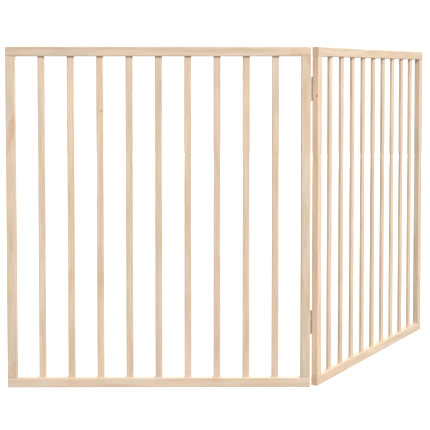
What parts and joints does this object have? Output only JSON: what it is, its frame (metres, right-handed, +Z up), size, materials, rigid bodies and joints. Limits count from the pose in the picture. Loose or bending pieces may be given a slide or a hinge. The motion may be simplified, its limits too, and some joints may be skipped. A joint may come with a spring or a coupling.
{
  "type": "folding pet gate",
  "caption": "Free-standing wooden pet gate: two slatted pine panels joined by butt hinges, folding flat back to back or opening out in line.",
  "frame": {"origin": "centre of the front panel's underside, on the floor", "axes": "+X along the front panel towards the hinges, +Y from its front face to its back, where the side panel folds away, +Z up"},
  "size_m": [1.2205, 0.7136, 0.9],
  "materials": {
    "pine_rail": "untreated pine, planed and sanded, matte",
    "pine_stile": "untreated pine, planed and sanded, matte",
    "pine_slat": "untreated pine, planed and sanded, matte",
    "beech_dowel": "turned beech, matte",
    "hinge_steel": "zinc-plated pressed steel, satin",
    "pin_steel": "zinc-plated steel wire, satin",
    "screw_steel": "zinc-plated steel, satin"
  },
  "bodies": {
    "front_panel": {"front_top_rail": "pine_rail", "front_bottom_rail": "pine_rail", "front_outer_stile": "pine_stile", "front_hinge_stile": "pine_stile", "front_slat_1": "pine_slat", "front_slat_2": "pine_slat", "front_slat_3": "pine_slat", "front_slat_4": "pine_slat", "front_slat_5": "pine_slat", "front_slat_6": "pine_slat", "front_slat_7": "pine_slat", "front_slat_8": "pine_slat", "front_slat_9": "pine_slat", "front_dowels": "beech_dowel", "upper_hinge_front_leaf": "hinge_steel", "upper_hinge_pin": "pin_steel", "upper_front_screws": "screw_steel", "lower_hinge_front_leaf": "hinge_steel", "lower_hinge_pin": "pin_steel", "lower_front_screws": "screw_steel"},
    "side_panel": {"side_top_rail": "pine_rail", "side_bottom_rail": "pine_rail", "side_outer_stile": "pine_stile", "side_hinge_stile": "pine_stile", "side_slat_1": "pine_slat", "side_slat_2": "pine_slat", "side_slat_3": "pine_slat", "side_slat_4": "pine_slat", "side_slat_5": "pine_slat", "side_slat_6": "pine_slat", "side_slat_7": "pine_slat", "side_slat_8": "pine_slat", "side_slat_9": "pine_slat", "side_dowels": "beech_dowel", "upper_hinge_side_leaf": "hinge_steel", "upper_side_screws": "screw_steel", "lower_hinge_side_leaf": "hinge_steel", "lower_side_screws": "screw_steel"}
  },
  "joints": [
    {"name": "fold", "type": "hinge", "parent": "front_panel", "child": "side_panel", "pos_m": [0.4015, 0.01205, 0], "axis": [0, 0, 1], "range_deg": [-60, 120]}
  ]
}
